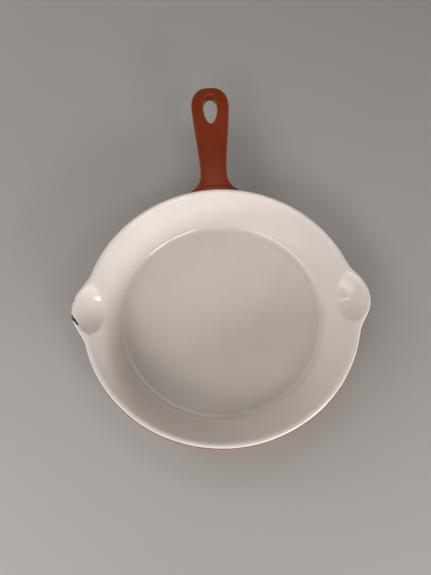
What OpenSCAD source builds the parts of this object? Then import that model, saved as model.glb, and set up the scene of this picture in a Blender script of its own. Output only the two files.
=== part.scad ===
// Enamelled cast iron skillet with two pouring lips and a long cast handle.
// The origin is on the axis of the bowl at the surface the skillet stands on.
// +Z is up, +Y points along the handle and +X along the line through the lips.
// All sizes are in millimetres, over the enamel.

/* [Bowl] */
// Outer diameter of the round rim
rim_d = 260; // [260:1:270]
// Height of the rim above the table
rim_h = 43; // [38:0.5:43]
// Diameter of the flat floor inside
floor_d = 192; // [170:1:192]
// Height of the cooking floor above the table
floor_h = 5.6; // [5.6:0.1:7]
// Lean of the wall from vertical, in degrees
wall_lean = 31.5; // [28:0.5:31.5]
// Thickness of the wall with its enamel
wall_t = 4; // [3.8:0.1:5]
// Radius of the fillet between floor and wall inside
floor_fillet = 11.4; // [8:0.1:11.4]
// Radius of the rounded inner edge of the rim
rim_inner_r = 4; // [3:0.1:4]
// Radius of the rounded outer edge of the rim
rim_outer_r = 2.4; // [2:0.1:2.4]

/* [Pouring lips] */
// How far each lip bulges out past the round rim
lip_out = 10.5; // [0:0.5:14]
// Half of the angle that a lip takes on the rim, in degrees
lip_half_angle = 16.5; // [14:0.5:22]
// How far a lip reaches down the outside of the wall
lip_depth = 26; // [24:1:30]
// Half of the angle of the scoop inside a lip, in degrees
scoop_half_angle = 11.4; // [10:0.2:13]
// How far the scoop reaches down the inside of the wall
scoop_depth = 19.5; // [15:0.5:21]

/* [Foot] */
// Outer diameter of the flat foot ring
foot_d = 196; // [160:1:196]
// Width of the foot ring
foot_w = 9; // [5:0.5:14]
// Depth of the recess inside the foot ring
foot_recess = 0.8; // [0.5:0.1:1.2]
// Radius of the rounded edge between foot and wall
foot_fillet = 10; // [6:0.5:10]

/* [Handle] */
// Distance from the axis of the bowl to the tip of the handle
handle_reach = 277; // [265:1:300]
// Width of the handle at its narrowest
neck_w = 28.8; // [24:0.2:34]
// Width of the handle at its widest
grip_w = 44.4; // [38:0.2:50]
// Thickness of the handle at its narrowest
neck_t = 12.6; // [10:0.2:15]
// Thickness of the handle at its widest
grip_t = 10.6; // [9:0.2:13]
// Height of the top of the handle at the rim
handle_root_h = 41; // [38:0.2:41.2]
// Height of the top of the handle at its tip
handle_tip_h = 47.6; // [42:0.2:60]
// Radius of the fillets between handle and wall
root_fillet = 28; // [20:1:30]

/* [Hanging hole] */
// Length of the egg-shaped hole
hole_l = 43.4; // [30:0.2:50]
// Width of the hole
hole_w = 16.4; // [12:0.2:20]
// Distance from the axis of the bowl to the middle of the hole
hole_y = 242.8; // [235:0.2:248]
// Radius of the rounded top edge of the hole
hole_edge_r = 2; // [1:0.1:2.5]

/* [Enamel] */
// Thickness of each coat of enamel
enamel_t = 0.35; // [0.25:0.05:0.6]

/* [Hidden] */

rim_r = rim_d / 2;
floor_r = floor_d / 2;
foot_r = foot_d / 2;
slope = tan(wall_lean);
wall_normal = [cos(wall_lean), -sin(wall_lean)];

// The enamel changes colour on the outer edge of the rim, at this angle up from level
parting_angle = 36;
// The outer coat stops this many degrees up the foot fillet, and ground iron shows below it
foot_coat_angle = 6;
// Height of the rim's outer bead over the plain wall
bead_h = 7.8;

// How softly the edge of a scoop is rounded (0 is sharp), and how flat its middle is (2 is round)
scoop_edge = 0.12;
scoop_bulge = 2.6;

// Angles around the bowl: close together on the lips, wide apart between them
lip_steps = 7;
side_steps = 24;
side_angle = 180 - 2 * lip_half_angle;
half_turn = concat(
    [for (i = [-lip_steps : lip_steps - 1]) lip_half_angle * i / lip_steps],
    [for (i = [0 : side_steps - 1]) lip_half_angle + side_angle * i / side_steps]);
turn = concat(half_turn, [for (a = half_turn) a + 180]);
// A polygon's corner stands this much further out than the circle inside it
corner_reach = 1 / cos(side_angle / side_steps / 2);

// Handle stations, and the plan shape of its round end
handle_start = 108;
neck_y = 157;
grip_y = 250;
tip_bulge = 2.4;
tip_edge = 6;
section_points = 20;
section_bulge = 3;
// At the bowl the handle is widest this far below its top, and at half its thickness further out
widest_at_root = 2;
// Fillets above and below the handle where it meets the bowl, and how far the upper one climbs
top_fillet = 6;
top_rise = 0.4;
under_fillet = 22;

// ---- points and curves ----

function arc(c, r, a0, a1, n) =
    [for (i = [0 : n]) let (a = a0 + (a1 - a0) * i / n) c + r * [cos(a), sin(a)]];

// Points strictly between two ends of a straight stretch
function between(a, b, n) = [for (i = [1 : n - 1]) a + (b - a) * i / n];

function bezier(a, b, c, d, n) =
    [for (i = [1 : n - 1]) let (t = i / n, s = 1 - t)
        s * s * s * a + 3 * s * s * t * b + 3 * s * t * t * c + t * t * t * d];

function reversed(list) = [for (i = [len(list) - 1 : -1 : 0]) list[i]];

function last(list) = list[len(list) - 1];

function all_but_last(list) = [for (i = [0 : len(list) - 2]) list[i]];

function power(x, e) = sign(x) * pow(abs(x), e);

function mix(a, b, t) = a + (b - a) * min(max(t, 0), 1);

// ---- profile of the bowl as [radius, height], at a depth t below the enamel ----

fillet_centre = [floor_r, floor_h + floor_fillet];
// Radius at which the inner wall's line would meet the table
inner_foot = floor_r + floor_fillet / cos(wall_lean) - (floor_h + floor_fillet) * slope;
function inner_wall_r(z) = inner_foot + z * slope;
function outer_wall_r(z) = inner_wall_r(z) + wall_t / cos(wall_lean);

rim_inner_centre = [inner_wall_r(rim_h - rim_inner_r) + rim_inner_r / cos(wall_lean),
                    rim_h - rim_inner_r];
rim_outer_centre = [rim_r - rim_outer_r, rim_h - rim_outer_r];
foot_arc_r = outer_wall_r(foot_fillet) - foot_fillet / cos(wall_lean);
foot_centre = [foot_arc_r, foot_fillet];

// Floor edge, fillet, wall and rim, up to the line where the enamel changes colour
function inner_profile(t) =
    let (low = arc(fillet_centre, floor_fillet + t, -90, -wall_lean, 4),
         high = arc(rim_inner_centre, rim_inner_r - t, 180 - wall_lean, 90, 4))
    concat(low, between(last(low), high[0], 7), high,
           arc(rim_outer_centre, rim_outer_r - t, 90, parting_angle, 3));

// From that line over the outer bead and down the wall to the foot
function outer_profile(t, foot_angle) =
    let (edge = arc(rim_outer_centre, rim_outer_r - t, parting_angle, 0, 1),
         bead_z = rim_h - bead_h,
         bead_low = [outer_wall_r(bead_z), bead_z] - t * wall_normal,
         bead = bezier(edge[1], edge[1] - [0, rim_outer_r],
                       bead_low + bead_h / 2 * [slope, 1] * cos(wall_lean), bead_low, 5),
         foot = arc(foot_centre, foot_fillet - t, -wall_lean, foot_angle - 90, 4))
    concat(edge, bead, [bead_low], between(bead_low, foot[0], 6), foot);

function off_lip(a) = min(abs(a), abs(a - 180), abs(a - 360));

// How far a lip swells the outside of the wall at angle a and height z
function lip_swell(a, z) =
    let (reach = norm([off_lip(a) / lip_half_angle, max(rim_h - z, 0) / lip_depth]))
    reach < 1 ? lip_out * pow(cos(90 * pow(reach, 1.15)), 2) : 0;

// How far the scoop inside it is pressed outwards, with a tighter edge
function lip_scoop(a, z) =
    let (reach = norm([off_lip(a) / scoop_half_angle, max(rim_h - z, 0) / scoop_depth]),
         inside = 1 - pow(reach, scoop_bulge))
    inside > -4 ? lip_out * (inside + norm([inside, scoop_edge])) / 2 : 0;

function lip_push(a, p) =
    mix(lip_scoop(a, p[1]), lip_swell(a, p[1]), (p[0] - inner_wall_r(p[1])) * cos(wall_lean) / wall_t);

function bowl_ring(p) =
    [for (a = turn) let (r = p[0] + lip_push(a, p)) [r * cos(a), r * sin(a), p[1]]];

function bowl_rings(profile) = [for (p = profile) bowl_ring(p)];

// ---- handle ----

function handle_top(y) = mix(handle_root_h, handle_tip_h, (y - rim_r) / (handle_reach - rim_r));

function handle_thickness(y) = mix(neck_t, grip_t, (y - neck_y) / (grip_y - neck_y));

// Rise of a round fillet of radius r, at a distance d along it from its far end
function fillet_rise(r, d) = d <= 0 ? 0 : r - sqrt(r * r - pow(min(d, r * 0.99), 2));

function handle_half_w(y, tip) =
    let (t = min(max((y - neck_y) / (grip_y - neck_y), 0), 1),
         eased = (t + t * t * (3 - 2 * t)) / 2,
         u = max(0, (y - grip_y) / (tip - grip_y)))
    mix(neck_w, grip_w, eased) / 2 * pow(1 - pow(u, tip_bulge), 1 / tip_bulge);

// Half thickness: full, then rounded off over the last few millimetres
function end_round(y, tip) = pow(1 - pow(max(0, (y - tip + tip_edge) / tip_edge), 2.2), 1 / 2.2);

// The handle's sides sweep out until they touch the round wall, or the bead near the rim
function root_flare(y, z) =
    let (bead = (z - rim_h + bead_h) / (bead_h - rim_outer_r),
         wall_r = mix(outer_wall_r(z), rim_r, bead),
         fillet_y = sqrt(pow(wall_r + root_fillet, 2) - pow(neck_w / 2 + root_fillet, 2)),
         touch = fillet_y * root_fillet / (wall_r + root_fillet))
    fillet_rise(root_fillet, min(fillet_y - y, touch));

function handle_ring(y, t, tip) =
    let (top = handle_top(y) + min(fillet_rise(top_fillet, rim_r + top_fillet - y), top_rise),
         under = min(rim_r + 2 - y, under_fillet * cos(wall_lean)),
         bottom = handle_top(y) - handle_thickness(y) - fillet_rise(under_fillet, under),
         widest = top - mix(widest_at_root, handle_thickness(y) / 2, (y - rim_r) / (grip_y - rim_r) * 2),
         above = (top - widest - t) * end_round(y, tip),
         below = (widest - bottom - t) * end_round(y, tip),
         half_w = handle_half_w(y, tip) - t)
    [for (i = [0 : section_points - 1])
        let (a = 360 * i / section_points,
             across = power(cos(a), 2 / section_bulge),
             z = widest + (a < 180 ? above : below) * power(sin(a), 2 / section_bulge))
        [-across * (half_w + root_flare(y, z)), y, z]];

function handle_rings(t) =
    let (tip = handle_reach - t)
    [for (y = [each [handle_start : 3 : 150],
               for (i = [0 : 7]) mix(neck_y, grip_y, i / 8),
               for (a = [0 : 11 : 88]) mix(grip_y, tip, sin(a))])
        handle_ring(y, t, tip)];

// Egg-shaped outline of the hole, wider towards the tip, grown by g, at depth d under the top
function hole_ring(g, d) =
    [for (a = [0 : 11.25 : 359])
        let (y = hole_y + (hole_l / 2 + g) * cos(a))
        [(hole_w / 2 + g) * 0.99 * sin(a) * (1 + 0.16 * cos(a)), y, handle_top(y) - d]];

function hole_rings(t) =
    let (round_steps = [0, 0.1, 0.3, 0.6, 1], r = hole_edge_r, low = grip_t + 0.3)
    concat([hole_ring(r + t, -4)],
           [for (s = round_steps) hole_ring(r - r * sqrt(1 - pow(1 - s, 2)) + t, s * r)],
           [for (s = reversed(round_steps)) hole_ring(r - r * sqrt(1 - pow(1 - s, 2)) + t, low - s * r)],
           [hole_ring(r + t, low + 4)]);

// ---- solids from rings of points ----

// Skins a list of rings, taken from the bottom up and anticlockwise as seen from above.
// The last ring joins the first when looped, and both ends close when not
module skin(rings, looped = false) {
    n = len(rings[0]);
    m = len(rings);
    points = [for (ring = rings) for (p = ring) p];
    sides = [for (i = [0 : m - (looped ? 1 : 2)]) for (j = [0 : n - 1])
        let (k = (j + 1) % n, low = i * n, high = (i + 1) % m * n)
        each [[low + j, high + j, high + k], [low + j, high + k, low + k]]];
    ends = looped ? [] : [[for (j = [0 : n - 1]) j], [for (j = [n - 1 : -1 : 0]) (m - 1) * n + j]];
    polyhedron(points, concat(sides, ends));
}

module bowl_iron() {
    recess_edge = (foot_r - foot_w) * corner_reach;
    recess_top = enamel_t + foot_recess;
    outside = outer_profile(enamel_t, 0);
    skin(bowl_rings(concat(
        [[recess_edge - foot_recess, recess_top], [recess_edge, enamel_t]],
        reversed(outside), reversed(all_but_last(inner_profile(enamel_t))))));
}

// Everything deeper than t under the bowl's outer surface, which trims the inner end of the handle
module bowl_core(t) {
    skin(bowl_rings(reversed(concat([[rim_r - rim_outer_r, rim_h]], outer_profile(t, 0)))));
}

module handle_solid(t) {
    difference() {
        skin(handle_rings(t));
        skin(hole_rings(t));
    }
}

// ---- sub-parts ----

// Bowl, lips and handle, poured as one piece of iron
module iron_casting() {
    color([0.16, 0.15, 0.15])
        resize([0, 0, 0]) union() {
            bowl_iron();
            difference() {
                handle_solid(enamel_t);
                bowl_core(wall_t / 2);
            }
        }
}

// Cream glaze on the floor and wall, which runs over the rim
module interior_enamel() {
    color([0.93, 0.90, 0.85])
        skin(bowl_rings(concat(inner_profile(enamel_t), reversed(inner_profile(0)))));
}

// Terracotta glaze on the outside, all round the handle and through its hole
module exterior_enamel() {
    color([0.56, 0.22, 0.12])
        resize([0, 0, 0]) difference() {
            union() {
                skin(bowl_rings(concat(outer_profile(enamel_t, foot_coat_angle),
                                       reversed(outer_profile(0, foot_coat_angle)))), looped = true);
                difference() {
                    handle_solid(0);
                    bowl_core(enamel_t / 2);
                }
            }
            handle_solid(enamel_t);
        }
}

// Matte black coat under the bowl: the foot ring and the recess inside it
module base_enamel() {
    ring_in = foot_r - foot_w;
    color([0.08, 0.08, 0.08])
        rotate_extrude($fn = 180)
            polygon([[0, foot_recess], [ring_in - foot_recess, foot_recess], [ring_in, 0], [foot_r, 0],
                     [foot_r, enamel_t], [ring_in + 0.1, enamel_t],
                     [ring_in + 0.1 - foot_recess, enamel_t + foot_recess],
                     [0, enamel_t + foot_recess]]);
}

iron_casting();
interior_enamel();
exterior_enamel();
base_enamel();
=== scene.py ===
"""Looks of an enamelled cast iron skillet: cream glaze inside, terracotta outside and matte black below.

The iron and the glaze are rebuilt smooth and dense from the same profiles as the CAD model. Shapes are
worked out in millimetres, on the CAD frame's axes, and scaled to metres when a mesh is made.
"""
import math

import bpy
import numpy as np
from mathutils import Matrix, Vector, noise


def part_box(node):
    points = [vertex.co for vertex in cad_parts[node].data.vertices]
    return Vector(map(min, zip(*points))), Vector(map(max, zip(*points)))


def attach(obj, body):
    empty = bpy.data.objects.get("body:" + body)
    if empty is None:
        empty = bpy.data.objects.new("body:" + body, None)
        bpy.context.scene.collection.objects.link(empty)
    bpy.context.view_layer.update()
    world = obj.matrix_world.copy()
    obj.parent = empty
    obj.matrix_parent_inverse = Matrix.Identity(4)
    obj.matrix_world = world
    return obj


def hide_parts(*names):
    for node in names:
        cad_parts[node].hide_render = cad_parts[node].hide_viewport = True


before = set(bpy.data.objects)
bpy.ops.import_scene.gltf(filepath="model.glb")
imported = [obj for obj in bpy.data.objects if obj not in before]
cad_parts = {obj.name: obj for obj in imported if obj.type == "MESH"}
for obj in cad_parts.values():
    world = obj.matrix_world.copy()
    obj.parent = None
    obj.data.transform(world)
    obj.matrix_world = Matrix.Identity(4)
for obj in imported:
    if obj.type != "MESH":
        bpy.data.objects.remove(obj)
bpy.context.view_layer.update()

MM = 0.001


def box_mm(node):
    """Lowest and highest corners of a CAD node, in millimetres."""
    return [np.array(corner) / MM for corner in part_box(node)]


# ---- driving dimensions, in millimetres and degrees ----

INSIDE = box_mm("interior_enamel")
OUTSIDE = box_mm("exterior_enamel")
RIM_H = INSIDE[1][2]
RIM_R = -OUTSIDE[0][1]
HANDLE_REACH = OUTSIDE[1][1]
ENAMEL = 0.35
FLOOR_H = INSIDE[0][2] + ENAMEL
FLOOR_R = 96.0
WALL_LEAN = 31.5
WALL_T = 4.0
FLOOR_FILLET = 11.4
RIM_INNER_R = 4.0
RIM_OUTER_R = 2.4
FOOT_FILLET = 10.0
PARTING = 36.0
BEAD_H = 7.8
LIP_OUT = 10.5
LIP_HALF_ANGLE = 16.5
LIP_DEPTH = 26.0
LIP_SHOULDER = 1.15
SCOOP_HALF_ANGLE, SCOOP_DEPTH, SCOOP_EDGE, SCOOP_BULGE = 11.4, 19.5, 0.12, 2.6
NECK_Y, GRIP_Y = 157.0, 250.0
NECK_W, GRIP_W = 28.8, 44.4
NECK_T, GRIP_T = 12.6, 10.6
HANDLE_ROOT_H, HANDLE_TIP_H = 41.0, 47.6
HOLE_Y, HOLE_L, HOLE_W, HOLE_EDGE_R = 242.8, 43.4, 16.4, 2.0
HOLE_NARROWING, HOLE_TAPER = 0.99, 0.16
ROOT_FILLET, UNDER_FILLET = 28.0, 22.0
TOP_FILLET, TOP_RISE = 6.0, 0.4
WIDEST_AT_ROOT = 2.0
HANDLE_START = 112
TIP_EDGE, TIP_BULGE, EDGE_BULGE, SECTION_BULGE = 6.0, 2.4, 2.2, 3
FOOT_R = box_mm("base_enamel")[1][0]
FOOT_W, FOOT_RECESS = 9.0, 0.8
# Radius of the middle of the worn band on the foot
WORN_R = 92.5
# The iron lies this deep under the enamel's surface: a hair under the back of the coat
IRON_DEPTH = ENAMEL + 0.002

SLOPE = math.tan(math.radians(WALL_LEAN))
COS_LEAN = math.cos(math.radians(WALL_LEAN))
INNER_FOOT = FLOOR_R + FLOOR_FILLET / COS_LEAN - (FLOOR_H + FLOOR_FILLET) * SLOPE


def inner_wall_r(z):
    return INNER_FOOT + z * SLOPE


def outer_wall_r(z):
    return inner_wall_r(z) + WALL_T / COS_LEAN


FILLET_CENTRE = (FLOOR_R, FLOOR_H + FLOOR_FILLET)
RIM_IN_CENTRE = (inner_wall_r(RIM_H - RIM_INNER_R) + RIM_INNER_R / COS_LEAN, RIM_H - RIM_INNER_R)
RIM_OUT_CENTRE = (RIM_R - RIM_OUTER_R, RIM_H - RIM_OUTER_R)
FOOT_CENTRE = (outer_wall_r(FOOT_FILLET) - FOOT_FILLET / COS_LEAN, FOOT_FILLET)


# ---- profiles as columns of (radius, height) ----

def arc(centre, radius, start, end, steps):
    """Points on an arc. start and end are angles in degrees, and may be arrays with one value per column."""
    t = np.linspace(0, 1, steps + 1)[:, None]
    angle = np.radians(start + (end - start) * t)
    return np.stack([centre[0] + radius * np.cos(angle), centre[1] + radius * np.sin(angle)], axis=-1)


def line(a, b, steps):
    """Points strictly between two points."""
    t = np.linspace(0, 1, steps + 1)[1:-1, None, None]
    return (1 - t) * np.array(a) + t * np.array(b)


def bezier(a, b, c, d, steps):
    t = np.linspace(0, 1, steps + 1)[1:, None, None]
    s = 1 - t
    return s**3 * np.array(a) + 3 * s * s * t * np.array(b) + 3 * s * t * t * np.array(c) + t**3 * np.array(d)


def stack(parts, columns):
    """Joins profile stretches into one array of shape (rows, columns, 2)."""
    return np.concatenate([np.broadcast_to(p, (p.shape[0], columns, 2)) for p in parts])


def off_lip(angle):
    return np.minimum(np.abs((angle + 90) % 360 - 90), np.abs(angle % 360 - 180))


def lip_swell(angle, z):
    """How far a pouring lip swells the outside of the wall, for angles in degrees."""
    reach = np.hypot(off_lip(angle) / LIP_HALF_ANGLE, np.maximum(RIM_H - z, 0) / LIP_DEPTH)
    fall = np.radians(90 * np.minimum(reach, 1) ** LIP_SHOULDER)
    return np.where(reach < 1, LIP_OUT * np.cos(fall) ** 2, 0)


def lip_scoop(angle, z):
    """How far the scoop inside the lip is pressed outwards, with a tighter edge."""
    reach = np.hypot(off_lip(angle) / SCOOP_HALF_ANGLE, np.maximum(RIM_H - z, 0) / SCOOP_DEPTH)
    inside = 1 - reach**SCOOP_BULGE
    return np.where(inside > -4, LIP_OUT * (inside + np.hypot(inside, SCOOP_EDGE)) / 2, 0)


def lip_push(angle, r, z):
    through = np.clip((r - inner_wall_r(z)) * COS_LEAN / WALL_T, 0, 1)
    return lip_scoop(angle, z) * (1 - through) + lip_swell(angle, z) * through


def profile_normals(profile, outwards):
    """Unit normals in the (radius, height) plane, on the right of the profile's direction or, where
    outwards is -1, on its left."""
    along = np.gradient(profile, axis=0)
    along /= np.maximum(np.linalg.norm(along, axis=-1, keepdims=True), 1e-9)
    return outwards * np.stack([along[..., 1], -along[..., 0]], axis=-1)


def to_points(profile, normals, depth, angles):
    """The profile swept round the bowl, at a depth under its surface, with the lips pushed out."""
    r = profile[..., 0] - depth * normals[..., 0]
    z = profile[..., 1] - depth * normals[..., 1]
    r = r + lip_push(angles, r, z)
    turn = np.radians(angles)
    return np.stack([r * np.cos(turn), r * np.sin(turn), z], axis=-1)


def uneven(points, size, seed):
    """Smooth noise from 0 to 1 at each point, with bumps of about that size in millimetres."""
    flat = points.reshape(-1, 3) / size
    shift = Vector((seed * 7.3, seed * 3.1, seed * 5.7))
    values = np.array([noise.noise(Vector(p) + shift) for p in flat])
    return (0.5 + 0.5 * np.clip(values * 1.4, -1, 1)).reshape(points.shape[:-1])


# ---- meshes ----

def make_object(name, points, faces, turned=False):
    """A smooth mesh object. turned is for profiles that run outwards and over the rim: as built, their
    faces look inwards."""
    mesh = bpy.data.meshes.new(name)
    mesh.from_pydata((np.asarray(points) * MM).tolist(), [], faces)
    if turned:
        mesh.flip_normals()
    mesh.update()
    mesh.polygons.foreach_set("use_smooth", [True] * len(mesh.polygons))
    obj = bpy.data.objects.new(name, mesh)
    bpy.context.scene.collection.objects.link(obj)
    return obj


def keep_inside(obj, corners):
    """Holds every point of a mesh within a box given in millimetres."""
    points = np.empty(len(obj.data.vertices) * 3)
    obj.data.vertices.foreach_get("co", points)
    held = np.clip(points.reshape(-1, 3), corners[0] * MM, corners[1] * MM)
    obj.data.vertices.foreach_set("co", held.reshape(-1))
    obj.data.update()


def grid_faces(rows, columns, looped_rows=False):
    """Quads over a grid whose columns wrap round, and whose rows wrap too when looped."""
    i = np.arange(rows if looped_rows else rows - 1)[:, None]
    j = np.arange(columns)[None, :]
    below, above = i * columns, (i + 1) % rows * columns
    right = (j + 1) % columns
    quads = np.stack([below + j, below + right, above + right, above + j], axis=-1)
    return quads.reshape(-1, 4).tolist()


def fans(rows, columns):
    """Triangles that close the first and last rows of a grid onto the two points stored after it."""
    first, last, ring = rows * columns, rows * columns + 1, (rows - 1) * columns
    faces = [[first, (j + 1) % columns, j] for j in range(columns)]
    return faces + [[last, ring + j, ring + (j + 1) % columns] for j in range(columns)]


def angles_round(stretches):
    """Angles once round the bowl from (start, step) stretches, each running to the next one's start."""
    out = []
    for (start, step), (end, _) in zip(stretches, stretches[1:] + [(360, 0)]):
        out.append(np.linspace(start, end, max(1, round((end - start) / step)), endpoint=False))
    return np.concatenate(out)


# The rim's chips: angle and distance from the rim's outer edge at both ends, and half width
CHIPS = [((182.9, 0.3), (186.4, 4.0), 1.75), ((176.0, 0.0), (176.6, 1.0), 1.15)]


def chip_mask(points, angles):
    """1 inside a chip, 0 outside, with a ragged edge."""
    radius = np.hypot(points[..., 0], points[..., 1]) - lip_swell(angles, RIM_H)
    along = np.radians(angles) * RIM_R + 0 * radius
    inset = RIM_R - radius
    mask = np.zeros(radius.shape)
    near = (np.abs(angles - 181) < 9) & (points[..., 2] > RIM_H - 4)
    ragged = np.zeros(radius.shape)
    ragged[near] = uneven(points[near], 1.1, 4) - 0.5
    for (a0, i0), (a1, i1), half in CHIPS:
        ax, ay = math.radians(a0) * RIM_R, i0
        bx, by = math.radians(a1) * RIM_R, i1
        length2 = (bx - ax) ** 2 + (by - ay) ** 2
        t = np.clip(((along - ax) * (bx - ax) + (inset - ay) * (by - ay)) / length2, 0, 1)
        away = np.hypot(along - ax - t * (bx - ax), inset - ay - t * (by - ay))
        mask = np.maximum(mask, (away + 0.9 * ragged < half * (1 - 0.35 * t)) & near)
    return mask


def parting_angle(angles):
    """Angle on the rim's outer edge where cream glaze meets terracotta: nearly level, slightly wavy."""
    turn = np.radians(angles)
    return PARTING + 3 * np.sin(3 * turn + 1) + 2 * np.sin(11 * turn + 2) + 1.2 * np.sin(29 * turn)


def interior():
    """The cream coat and its chips. Returns the object, and 1 for each of its points inside a chip."""
    angles = angles_round([(0, 0.6), (18, 1.5), (162, 0.5), (173, 0.12), (190, 0.5), (198, 1.5), (342, 0.6)])
    count = len(angles)
    floor = np.array([[[r, FLOOR_H]] for r in np.linspace(2, FLOOR_R - 1.5, 40)])
    low = arc(FILLET_CENTRE, FLOOR_FILLET, -90, -WALL_LEAN, 14)
    high = arc(RIM_IN_CENTRE, RIM_INNER_R, 180 - WALL_LEAN, 90, 20)
    edge = arc(RIM_OUT_CENTRE, RIM_OUTER_R, 90, parting_angle(angles), 12)
    profile = stack([floor, low, line(low[-1, 0], high[0, 0], 44), high[:-1], edge], count)
    normals = profile_normals(profile, -1)
    surface = to_points(profile, normals, 0, angles)

    depth = 0.10 * uneven(surface, 38, 1) ** 2 + 0.025 * uneven(surface, 9, 2)
    chip = chip_mask(surface, angles)
    pits = uneven(surface[-40:], 0.8, 3)
    depth[-40:] = np.where(chip[-40:] > 0, 0.27 + 0.07 * pits, depth[-40:])
    depth[-3:] = np.maximum(depth[-3:], np.array([0.03, 0.1, 0.22])[:, None])
    top = to_points(profile, normals, depth, angles)
    back = to_points(profile, normals, ENAMEL, angles)[::-1]
    points = np.concatenate([top, back]).reshape(-1, 3)
    rows = 2 * len(profile)
    centres = np.array([[0, 0, FLOOR_H - 0.03], [0, 0, FLOOR_H - ENAMEL]])
    faces = grid_faces(rows, count) + fans(rows, count)
    obj = make_object("interior_glaze", np.concatenate([points, centres]), faces, turned=True)
    chipped = np.concatenate([chip, 0 * chip]).reshape(-1)
    return obj, np.concatenate([chipped, [0, 0]])


def exterior_bowl():
    """The terracotta coat on the bowl: thinner towards its upper edge and where it ends above the foot."""
    angles = angles_round([(0, 0.8), (18, 1.5), (162, 0.8), (198, 1.5), (342, 0.8)])
    count = len(angles)
    parting = parting_angle(angles)
    edge = arc(RIM_OUT_CENTRE, RIM_OUTER_R, parting + 14, 0, 12)
    profile = stack([edge, *outer_stretches(14, 34, -84, 14)], count)
    normals = profile_normals(profile, -1)
    surface = to_points(profile, normals, 0, angles)
    depth = 0.11 * uneven(surface, 30, 5) ** 2 + 0.03 * uneven(surface, 8, 6)
    tuck = np.clip(1 - np.arange(len(profile)) / 5.0, 0, 1)[:, None]
    depth = np.maximum(depth, 0.26 * tuck)
    depth[-3:] = np.maximum(depth[-3:], np.array([0.04, 0.12, 0.25])[:, None])
    top = to_points(profile, normals, depth, angles)
    back = to_points(profile, normals, ENAMEL, angles)[::-1]
    points = np.concatenate([top, back]).reshape(-1, 3)
    faces = grid_faces(2 * len(profile), count, looped_rows=True)
    return make_object("exterior_glaze", points, faces, turned=True)


def outer_stretches(bead_steps, wall_steps, foot_end, foot_steps):
    """The outside of the bowl below the rim's edge: bead, wall and foot fillet."""
    bead_low = np.array([outer_wall_r(RIM_H - BEAD_H), RIM_H - BEAD_H])
    bead = bezier((RIM_R, RIM_OUT_CENTRE[1]), (RIM_R, RIM_OUT_CENTRE[1] - RIM_OUTER_R),
                  bead_low + BEAD_H / 2 * COS_LEAN * np.array([SLOPE, 1]), bead_low, bead_steps)
    foot = arc(FOOT_CENTRE, FOOT_FILLET, -WALL_LEAN, foot_end, foot_steps)
    return [bead, line(bead_low, foot[0, 0], wall_steps), foot]


def iron_bowl():
    """The bowl's iron: the same profiles one coat down, and the recess under the foot."""
    angles = angles_round([(0, 0.8), (18, 1.5), (162, 0.8), (198, 1.5), (342, 0.8)])
    count = len(angles)
    floor = np.array([[[r, FLOOR_H]] for r in np.linspace(2, FLOOR_R - 1.5, 12)])
    low = arc(FILLET_CENTRE, FLOOR_FILLET, -90, -WALL_LEAN, 10)
    high = arc(RIM_IN_CENTRE, RIM_INNER_R, 180 - WALL_LEAN, 90, 12)
    edge = arc(RIM_OUT_CENTRE, RIM_OUTER_R, 90, 0, 12)
    profile = stack([floor, low, line(low[-1, 0], high[0, 0], 30), high[:-1], edge,
                     *outer_stretches(12, 24, -90, 12)], count)
    skin = to_points(profile, profile_normals(profile, -1), IRON_DEPTH, angles)
    recess = FOOT_R - FOOT_W + 0.14
    under = np.array([[[recess, IRON_DEPTH]], [[recess - FOOT_RECESS, IRON_DEPTH + FOOT_RECESS]],
                      [[2, IRON_DEPTH + FOOT_RECESS]]])
    under = to_points(stack([under], count), 0 * under, 0, angles)
    points = np.concatenate([skin, under])
    rows = len(points)
    centres = np.array([[0, 0, FLOOR_H - IRON_DEPTH], [0, 0, IRON_DEPTH + FOOT_RECESS]])
    faces = grid_faces(rows, count) + fans(rows, count)
    return make_object("iron_bowl", np.concatenate([points.reshape(-1, 3), centres]), faces, turned=True)


# ---- handle ----

def mix(a, b, t):
    return a + (b - a) * np.clip(t, 0, 1)


def fillet_rise(radius, d):
    return radius - np.sqrt(radius**2 - np.clip(d, 0, 0.99 * radius) ** 2)


def power(x, e):
    return np.sign(x) * np.abs(x) ** e


def handle_top(y):
    return mix(HANDLE_ROOT_H, HANDLE_TIP_H, (y - RIM_R) / (HANDLE_REACH - RIM_R))


def handle_thickness(y):
    return mix(NECK_T, GRIP_T, (y - NECK_Y) / (GRIP_Y - NECK_Y))


def handle_half_w(y, tip):
    t = np.clip((y - NECK_Y) / (GRIP_Y - NECK_Y), 0, 1)
    u = np.clip((y - GRIP_Y) / (tip - GRIP_Y), 0, 1)
    return mix(NECK_W, GRIP_W, (t + t * t * (3 - 2 * t)) / 2) / 2 * (1 - u**TIP_BULGE) ** (1 / TIP_BULGE)


def root_flare(y, z):
    bead = (z - RIM_H + BEAD_H) / (BEAD_H - RIM_OUTER_R)
    wall_r = mix(outer_wall_r(z), RIM_R, bead)
    fillet_y = np.sqrt((wall_r + ROOT_FILLET) ** 2 - (NECK_W / 2 + ROOT_FILLET) ** 2)
    touch = fillet_y * ROOT_FILLET / (wall_r + ROOT_FILLET)
    return fillet_rise(ROOT_FILLET, np.minimum(fillet_y - y, touch))


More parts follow.
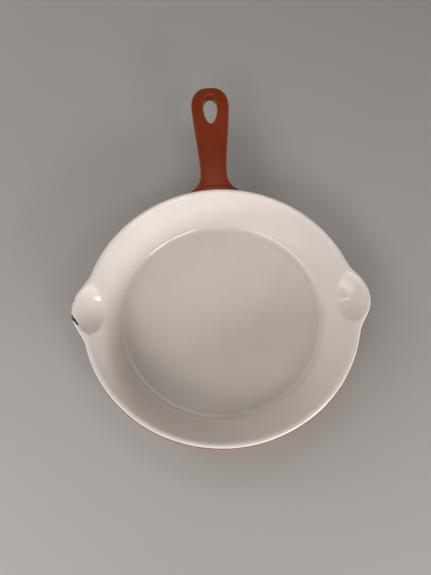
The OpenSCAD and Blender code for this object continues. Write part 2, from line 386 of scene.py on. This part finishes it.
def handle_rings(points_round, depth=0.0):
    """Sections of the handle from inside the bowl's wall to its tip, at a depth under its surface."""
    tip = HANDLE_REACH - depth
    round_end = GRIP_Y + (tip - GRIP_Y) * np.sin(np.radians(np.linspace(0, 89, 46)))
    stations = np.concatenate([np.arange(HANDLE_START, 160, 0.75), np.arange(160, GRIP_Y, 1.5), round_end])
    y = stations[:, None]
    a = np.radians(np.linspace(0, 360, points_round, endpoint=False))[None, :]
    top = handle_top(y) + np.minimum(fillet_rise(TOP_FILLET, RIM_R + TOP_FILLET - y), TOP_RISE)
    under = np.minimum(RIM_R + 2 - y, UNDER_FILLET * COS_LEAN)
    bottom = handle_top(y) - handle_thickness(y) - fillet_rise(UNDER_FILLET, under)
    half_way = (y - RIM_R) / (GRIP_Y - RIM_R) * 2
    widest = top - mix(WIDEST_AT_ROOT, handle_thickness(y) / 2, half_way)
    end_round = (1 - np.clip((y - tip + TIP_EDGE) / TIP_EDGE, 0, 1) ** EDGE_BULGE) ** (1 / EDGE_BULGE)
    half_t = (np.where(np.sin(a) > 0, top - widest, widest - bottom) - depth) * end_round
    across = power(np.cos(a), 2 / SECTION_BULGE)
    z = widest + half_t * power(np.sin(a), 2 / SECTION_BULGE)
    x = -across * (handle_half_w(y, tip) - depth + root_flare(y, z))
    middle_of_wall = np.sqrt(np.maximum((outer_wall_r(z) - WALL_T / 2) ** 2 - x**2, 0))
    return np.stack([x, np.maximum(y + 0 * x, middle_of_wall), z], axis=-1)


def hole_rings(points_round, depth=0.0):
    """Rings of the tool that cuts the egg-shaped hole, with a rounded edge above and below."""
    steps = 1 - np.cos(np.radians(np.linspace(14, 90, 12)))
    flare = HOLE_EDGE_R * (1 - np.sqrt(1 - (1 - steps) ** 2))
    low = GRIP_T + 0.3
    depths = np.concatenate([[-4], steps * HOLE_EDGE_R, (low - steps * HOLE_EDGE_R)[::-1], [low + 4]])
    grow = depth + np.concatenate([[flare[0] + 0.6], flare, flare[::-1], [flare[0] + 0.6]])[:, None]
    a = np.radians(np.linspace(0, 360, points_round, endpoint=False))[None, :]
    y = HOLE_Y + (HOLE_L / 2 + grow) * np.cos(a)
    x = (HOLE_W / 2 + grow) * HOLE_NARROWING * np.sin(a) * (1 + HOLE_TAPER * np.cos(a))
    return np.stack([x, y, handle_top(y) - depths[:, None]], axis=-1)


def closed_tube(name, rings):
    """A closed solid from rings of points, capped at both ends."""
    rows, columns = rings.shape[:2]
    caps = [list(range(columns - 1, -1, -1)), [(rows - 1) * columns + j for j in range(columns)]]
    return make_object(name, rings.reshape(-1, 3), grid_faces(rows, columns) + caps)


def apply_modifier(obj, kind, **settings):
    modifier = obj.modifiers.new(kind.lower(), kind)
    for key, value in settings.items():
        setattr(modifier, key, value)
    with bpy.context.temp_override(object=obj, active_object=obj):
        bpy.ops.object.modifier_apply(modifier=modifier.name)


def pierced_handle(name, depth=0.0):
    """The handle with its hanging hole, at a depth under its surface."""
    obj = closed_tube(name, handle_rings(72, depth))
    cutter = closed_tube("hole_tool", hole_rings(96, depth))
    bpy.context.view_layer.update()
    apply_modifier(obj, "BOOLEAN", object=cutter, operation="DIFFERENCE", solver="EXACT")
    bpy.data.objects.remove(cutter)
    return obj


def exterior_handle():
    """The handle's glazed surface, with its edges softened."""
    obj = pierced_handle("handle_glaze")
    apply_modifier(obj, "REMESH", mode="VOXEL", voxel_size=0.55 * MM)
    apply_modifier(obj, "SMOOTH", factor=0.5, iterations=6)
    keep_inside(obj, OUTSIDE)
    obj.data.polygons.foreach_set("use_smooth", [True] * len(obj.data.polygons))
    return obj


# ---- materials ----

class Recipe:
    """A node material, built by adding nodes whose inputs are numbers, colours or other nodes' outputs."""

    def __init__(self, name):
        self.material = bpy.data.materials.new(name)
        self.material.use_nodes = True
        self.tree = self.material.node_tree
        self.tree.nodes.clear()
        self.place = self.add("ShaderNodeTexCoord").outputs["Object"]

    def add(self, kind, inputs=None, **settings):
        node = self.tree.nodes.new(kind)
        for key, value in settings.items():
            setattr(node, key, value)
        for key, value in (inputs or {}).items():
            if isinstance(value, bpy.types.NodeSocket):
                self.tree.links.new(value, node.inputs[key])
            else:
                node.inputs[key].default_value = value
        return node

    def math(self, operation, a, b=0.0, c=0.0, clamp=False):
        return self.add("ShaderNodeMath", {0: a, 1: b, 2: c}, operation=operation, use_clamp=clamp).outputs[0]

    def noise(self, size, detail=2.0, rough=0.5, place=None):
        """Soft noise from 0 to 1, with features of about that size in millimetres."""
        inputs = {"Vector": place or self.place, "Scale": 1 / (size * MM),
                  "Detail": detail, "Roughness": rough}
        return self.add("ShaderNodeTexNoise", inputs).outputs["Fac"]

    def ramp(self, value, low, high, smooth=True):
        """0 where value is under low, 1 where it is over high."""
        inputs = {"Value": value, "From Min": low, "From Max": high}
        kind = "SMOOTHSTEP" if smooth else "LINEAR"
        return self.add("ShaderNodeMapRange", inputs, interpolation_type=kind).outputs["Result"]

    def scaled(self, x, y, z, turn=0.0):
        """The place, turned about the vertical by an angle in degrees and stretched along each axis."""
        inputs = {"Vector": self.place, "Rotation": (0, 0, math.radians(turn)), "Scale": (x, y, z)}
        return self.add("ShaderNodeMapping", inputs, vector_type="POINT").outputs["Vector"]

    def blend(self, factor, a, b, kind="MIX"):
        """Colour a where factor is 0, and colour b where it is 1."""
        node = self.add("ShaderNodeMix", data_type="RGBA", blend_type=kind)
        for socket, value in ((0, factor), (6, a), (7, b)):
            if isinstance(value, bpy.types.NodeSocket):
                self.tree.links.new(value, node.inputs[socket])
            else:
                node.inputs[socket].default_value = value if socket == 0 else (*value, 1)
        return node.outputs[2]

    def specks(self, spacing, size, share):
        """Round specks of that diameter in millimetres, in that share of cells of that spacing."""
        cells = self.add("ShaderNodeTexVoronoi", {"Vector": self.place, "Scale": 1 / (spacing * MM)})
        chosen = self.add("ShaderNodeSeparateColor", {0: cells.outputs["Color"]})
        near = self.ramp(cells.outputs["Distance"], 0.65 * size / spacing, 0.35 * size / spacing)
        return self.math("MULTIPLY", near, self.math("LESS_THAN", chosen.outputs[0], share))

    def scratches(self, length, width, turn, amount):
        """Fine straight marks along one direction, over part of the surface."""
        grain = self.noise(width, 1.0, 0.5, self.scaled(width / length, 1, width / length, turn))
        patch = self.noise(3 * length, 2.0, 0.6, self.scaled(1, 1.3, 1, turn + 40))
        line = self.ramp(grain, 0.72 - 0.05 * amount, 0.8)
        return self.math("MULTIPLY", line, self.ramp(patch, 0.48, 0.62))

    def total(self, *values):
        out = values[0]
        for value in values[1:]:
            out = self.math("ADD", out, value)
        return out

    def finish(self, color, roughness, height, height_mm, ior=1.5, level=0.5):
        """Ends the material. height is a value whose rise of 1 stands for that many millimetres."""
        bump = self.add("ShaderNodeBump", {"Height": height, "Distance": height_mm * MM, "Strength": 1.0})
        inputs = {"Base Color": color, "Roughness": roughness, "IOR": ior,
                  "Specular IOR Level": level, "Normal": bump.outputs[0]}
        shader = self.add("ShaderNodeBsdfPrincipled", inputs)
        self.add("ShaderNodeOutputMaterial", {0: shader.outputs[0]})
        return self.material


def cream_glaze():
    m = Recipe("cream_glaze")
    height = m.add("ShaderNodeSeparateXYZ", {0: m.place}).outputs[2]
    floor_part = m.ramp(height, (FLOOR_H + 5) * MM, (FLOOR_H - 0.3) * MM)
    rim_painted_light = m.ramp(height, (RIM_H - 3) * MM, (RIM_H - 0.2) * MM)
    color = m.blend(m.noise(70, 3, 0.55), (0.725, 0.648, 0.594), (0.755, 0.678, 0.625))
    color = m.blend(m.ramp(m.noise(26, 4, 0.6), 0.45, 0.75), color, (0.73, 0.645, 0.585))
    # Partly painted shade: the floor is painted darker and warmer in broad patches. This stands in for the
    # shade and bounced light at the bottom of the bowl as well as for wear. The same patches make the floor
    # rougher.
    worn_and_floor_shade = m.math("MULTIPLY", floor_part, m.ramp(m.noise(60, 5, 0.6), -0.3, 0.9))
    color = m.blend(m.math("MULTIPLY", worn_and_floor_shade, 0.6), color, (0.60, 0.527, 0.468))
    # Painted light: the rim's top is painted lighter, standing in for the brighter light that falls on it
    # from above.
    color = m.blend(m.math("MULTIPLY", rim_painted_light, 0.4), color, (0.83, 0.785, 0.75))
    marks = m.total(m.scratches(34, 0.5, 8, 1), m.scratches(24, 0.4, -35, 0.6), m.scratches(40, 0.6, 74, 0.4))
    marks = m.math("MULTIPLY", marks, m.math("MULTIPLY", floor_part, 0.8), clamp=True)
    color = m.blend(m.math("MULTIPLY", marks, 0.22), color, (0.50, 0.46, 0.42))
    specks = m.specks(9, 0.7, 0.035)
    color = m.blend(m.math("MULTIPLY", specks, 0.7), color, (0.16, 0.11, 0.08))
    fine = m.specks(2.6, 0.22, 0.10)
    color = m.blend(m.math("MULTIPLY", fine, 0.35), color, (0.38, 0.31, 0.25))
    rough = m.math("MULTIPLY_ADD", m.noise(18, 3), 0.05, 0.075)
    rough = m.total(rough, m.math("MULTIPLY", worn_and_floor_shade, 0.10), m.math("MULTIPLY", marks, 0.2))
    peel = m.math("MULTIPLY", m.noise(3.2, 1), 0.16)
    sag = m.math("MULTIPLY", m.noise(22, 1), 1.0)
    pits = m.math("MULTIPLY", m.total(marks, specks), -0.25)
    return m.finish(color, rough, m.total(peel, sag, pits), 0.10)


def terracotta_glaze():
    m = Recipe("terracotta_glaze")
    height = m.add("ShaderNodeSeparateXYZ", {0: m.place}).outputs[2]
    thin = m.add("ShaderNodeAttribute", attribute_name="thin_glaze").outputs["Fac"]
    color = m.blend(m.ramp(m.noise(34, 4, 0.6), 0.3, 0.7), (0.196, 0.0245, 0.0038), (0.247, 0.0345, 0.0058))
    mottle = m.math("MULTIPLY", m.ramp(m.noise(1.6, 3, 0.7), 0.45, 0.75), 0.35)
    color = m.blend(mottle, color, (0.26, 0.044, 0.008))
    edge = m.math("MULTIPLY", thin, m.math("MULTIPLY_ADD", m.noise(7, 3), 0.5, 0.65), clamp=True)
    color = m.blend(edge, color, (0.38, 0.085, 0.020))
    sooty = m.math("MULTIPLY", m.ramp(height, 20 * MM, 2 * MM), m.ramp(m.noise(17, 5, 0.65), 0.40, 0.66))
    color = m.blend(m.math("MULTIPLY", sooty, 0.62), color, (0.045, 0.014, 0.007))
    specks = m.specks(5, 0.35, 0.12)
    color = m.blend(m.math("MULTIPLY", specks, 0.6), color, (0.035, 0.012, 0.008))
    marks = m.total(m.scratches(22, 0.4, 82, 0.6), m.scratches(16, 0.35, 20, 0.2))
    color = m.blend(m.math("MULTIPLY", marks, 0.15, clamp=True), color, (0.30, 0.09, 0.05))
    rough = m.math("MULTIPLY_ADD", m.noise(24, 4), 0.10, 0.13)
    rough = m.total(rough, m.math("MULTIPLY", sooty, 0.2), m.math("MULTIPLY", marks, 0.15))
    peel = m.math("MULTIPLY", m.noise(2.4, 2), 0.35)
    sag = m.math("MULTIPLY", m.noise(13, 2), 1.2)
    return m.finish(color, rough, m.total(peel, sag, m.math("MULTIPLY", specks, 0.3)), 0.08, level=0.32)


def matte_black_glaze():
    m = Recipe("matte_black_glaze")
    color = m.blend(m.noise(30, 4, 0.6), (0.014, 0.013, 0.012), (0.026, 0.024, 0.022))
    flat = m.add("ShaderNodeMapping", {"Vector": m.place, "Scale": (1, 1, 0)}).outputs[0]
    radius = m.add("ShaderNodeVectorMath", {0: flat}, operation="LENGTH").outputs["Value"]
    off = m.math("ABSOLUTE", m.math("SUBTRACT", radius, WORN_R * MM))
    contact = m.math("MULTIPLY", m.ramp(off, 4.2 * MM, 1.8 * MM), m.ramp(m.noise(6, 5, 0.7), 0.38, 0.62))
    color = m.blend(m.math("MULTIPLY", contact, 0.75), color, (0.085, 0.078, 0.072))
    marks = m.total(m.scratches(45, 0.6, 5, 1), m.scratches(30, 0.5, 62, 1), m.scratches(26, 0.5, -48, 1))
    color = m.blend(m.math("MULTIPLY", marks, 0.5, clamp=True), color, (0.12, 0.115, 0.11))
    rough = m.math("MULTIPLY_ADD", m.noise(12, 4), 0.15, 0.42)
    rough = m.math("SUBTRACT", rough, m.math("MULTIPLY", contact, 0.12))
    grain = m.total(m.math("MULTIPLY", m.noise(1.1, 3), 1.0), m.math("MULTIPLY", m.noise(9, 2), 1.5))
    return m.finish(color, rough, m.total(grain, m.math("MULTIPLY", marks, -0.6)), 0.07)


def bare_iron():
    m = Recipe("bare_iron")
    color = m.blend(m.ramp(m.noise(1.5, 4, 0.7), 0.35, 0.7), (0.010, 0.009, 0.009), (0.022, 0.018, 0.016))
    rust = m.ramp(m.noise(2.4, 5, 0.7), 0.52, 0.70)
    color = m.blend(m.math("MULTIPLY", rust, 0.55), color, (0.075, 0.026, 0.010))
    rough = m.math("MULTIPLY_ADD", rust, 0.25, 0.55)
    grain = m.total(m.noise(0.5, 3, 0.7), m.math("MULTIPLY", m.noise(2, 3), 2))
    return m.finish(color, rough, grain, 0.08)


def floor_paint():
    m = Recipe("floor_paint")
    color = m.blend(m.noise(300, 3), (0.415, 0.395, 0.37), (0.435, 0.415, 0.39))
    rough = m.math("MULTIPLY_ADD", m.noise(90, 2), 0.1, 0.55)
    return m.finish(color, rough, m.noise(4, 2), 0.02)


def near_hole(points):
    """1 at the hanging hole's edge and 0 from a few millimetres away, for points in millimetres."""
    reach = np.hypot(points[:, 0] / (HOLE_W / 2), (points[:, 1] - HOLE_Y) / (HOLE_L / 2))
    return np.clip((1.75 - reach) / 0.3, 0, 1)


def mark_thin_glaze(obj, extra=None):
    """Stores how far each point stands out from the shape around it: glaze runs thin over edges, but pools
    round the hanging hole."""
    mesh = obj.data
    count = len(mesh.vertices)
    points = np.empty(count * 3)
    mesh.vertices.foreach_get("co", points)
    points = points.reshape(-1, 3)
    normals = np.empty(count * 3)
    mesh.vertices.foreach_get("normal", normals)
    edges = np.empty(len(mesh.edges) * 2, dtype=int)
    mesh.edges.foreach_get("vertices", edges)
    a, b = edges.reshape(-1, 2).T
    degree = np.bincount(np.concatenate([a, b]), minlength=count)[:, None]
    smooth = points.copy()
    for _ in range(26):
        total = np.zeros_like(smooth)
        for axis in range(3):
            total[:, axis] = (np.bincount(a, smooth[b, axis], count) + np.bincount(b, smooth[a, axis], count))
        smooth = 0.4 * smooth + 0.6 * total / degree
    out = ((points - smooth) * normals.reshape(-1, 3)).sum(1) / MM
    value = np.clip((out - 0.12) / 0.5, 0, 1)
    if extra is not None:
        value = np.maximum(value, extra)
    value = value * (1 - near_hole(points / MM))
    layer = mesh.attributes.new("thin_glaze", "FLOAT", "POINT")
    layer.data.foreach_set("value", value.astype(np.float32))


# ---- the skillet ----

cream = cream_glaze()
terracotta = terracotta_glaze()
iron = bare_iron()
matte_black = matte_black_glaze()

lining, chipped = interior()
lining.data.materials.append(cream)
lining.data.materials.append(iron)
corners = np.array([v for p in lining.data.polygons for v in (p.vertices[:3])]).reshape(-1, 3)
lining.data.polygons.foreach_set("material_index", (chipped[corners].min(axis=1) > 0).astype(int).tolist())

wall = exterior_bowl()
wall.data.materials.append(terracotta)
grip = exterior_handle()
grip.data.materials.append(terracotta)
mark_thin_glaze(grip)
core = iron_bowl()
core.data.materials.append(iron)
grip_core = pierced_handle("iron_handle", IRON_DEPTH)
apply_modifier(grip_core, "REMESH", mode="VOXEL", voxel_size=0.8 * MM)
grip_core.data.materials.append(iron)
heights = np.array([v.co.z for v in wall.data.vertices]) / MM
mark_thin_glaze(wall, 0.75 * np.clip((heights - RIM_H + 3.5) / 2, 0, 1))

for piece, slot, node in (
        (lining, "cream_enamel", "interior_enamel"),
        (wall, "terracotta_enamel", "exterior_enamel"),
        (grip, "terracotta_enamel", "exterior_enamel"),
        (core, "iron", "iron_casting"),
        (grip_core, "iron", "iron_casting")):
    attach(piece, "root")
    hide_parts(node)

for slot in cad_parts["base_enamel"].material_slots:
    slot.material = matte_black

# ---- floor, light and camera ----

floor_mesh = bpy.data.meshes.new("floor")
floor_mesh.from_pydata([(-3, -3, 0), (3, -3, 0), (3, 3, 0), (-3, 3, 0)], [], [[0, 1, 2, 3]])
floor = bpy.data.objects.new("floor", floor_mesh)
bpy.context.scene.collection.objects.link(floor)
floor_mesh.materials.append(floor_paint())

world = bpy.data.worlds.new("room")
world.use_nodes = True
world.node_tree.nodes["Background"].inputs["Color"].default_value = (1, 0.99, 0.97, 1)
world.node_tree.nodes["Background"].inputs["Strength"].default_value = 0.165
bpy.context.scene.world = world


# Distance of every light from the bowl, in metres
LIGHT_DISTANCE = 1.5


def area_light(name, azimuth, elevation, width, height, power, mirrored=True, lights=True):
    """A soft light in the direction given by two angles. Unmirrored ones show in no gloss, and one that
    doesn't light anything shows only in gloss."""
    data = bpy.data.lights.new(name, "AREA")
    data.shape = "RECTANGLE"
    data.size = width
    data.size_y = height
    data.energy = power
    light = bpy.data.objects.new(name, data)
    light.visible_glossy = mirrored
    light.visible_diffuse = lights
    light.matrix_world = (Matrix.Rotation(math.radians(azimuth + 90), 4, "Z")
                          @ Matrix.Rotation(math.radians(90 - elevation), 4, "X")
                          @ Matrix.Translation((0, 0, LIGHT_DISTANCE)))
    bpy.context.scene.collection.objects.link(light)


area_light("window", -153, 36, 1.5, 0.6, 3.8, mirrored=False)
area_light("window_gloss", -153, 36, 1.5, 0.35, 30, lights=False)
area_light("lamp", -47, 42, 0.12, 0.25, 1.9, mirrored=False)
area_light("lamp_gloss", -47, 42, 0.9, 0.25, 10, lights=False)
area_light("second_lamp", 159, 44, 0.06, 0.3, 0.5)
area_light("overhead", 90, 60.5, 1.3, 0.36, 2.05)
area_light("low_front", -60, 17, 0.6, 0.2, 7.6, mirrored=False)
area_light("front", -118, 32, 0.7, 0.3, 4.9, mirrored=False)
area_light("low_left", -165, 10, 0.5, 0.15, 1.3, mirrored=False)
area_light("middle_front", -90, 20, 0.7, 0.2, 1.85, mirrored=False)
area_light("low_right", -14, 8, 0.6, 0.2, 1.6, mirrored=False)
area_light("low_front_right", -40, 8, 0.4, 0.12, 8.2, mirrored=False)
area_light("back_left", 148, 28, 0.8, 0.5, 3.5, mirrored=False)

# The viewpoint: how far from upright and turned the camera is, in degrees, and its place in metres
CAMERA_PLACE = Vector((-0.0045, -0.1566, 0.4156))
CAMERA_ELEVATION = 65.34
CAMERA_ROLL = -2.48
CAMERA_TURN = -0.4
CAMERA_LENS = 27.05

camera = bpy.data.objects.new("camera", bpy.data.cameras.new("camera"))
camera.data.lens = CAMERA_LENS
camera.data.sensor_width = 36
camera.data.clip_start = 0.01
tilt = Matrix.Rotation(math.radians(90 - CAMERA_ELEVATION), 4, "X")
roll = Matrix.Rotation(math.radians(CAMERA_ROLL), 4, "Z")
turn = Matrix.Rotation(math.radians(CAMERA_TURN), 4, "Z")
camera.matrix_world = turn @ Matrix.Translation(CAMERA_PLACE) @ tilt @ roll
bpy.context.scene.collection.objects.link(camera)
bpy.context.scene.camera = camera
bpy.context.scene.view_settings.view_transform = "Standard"
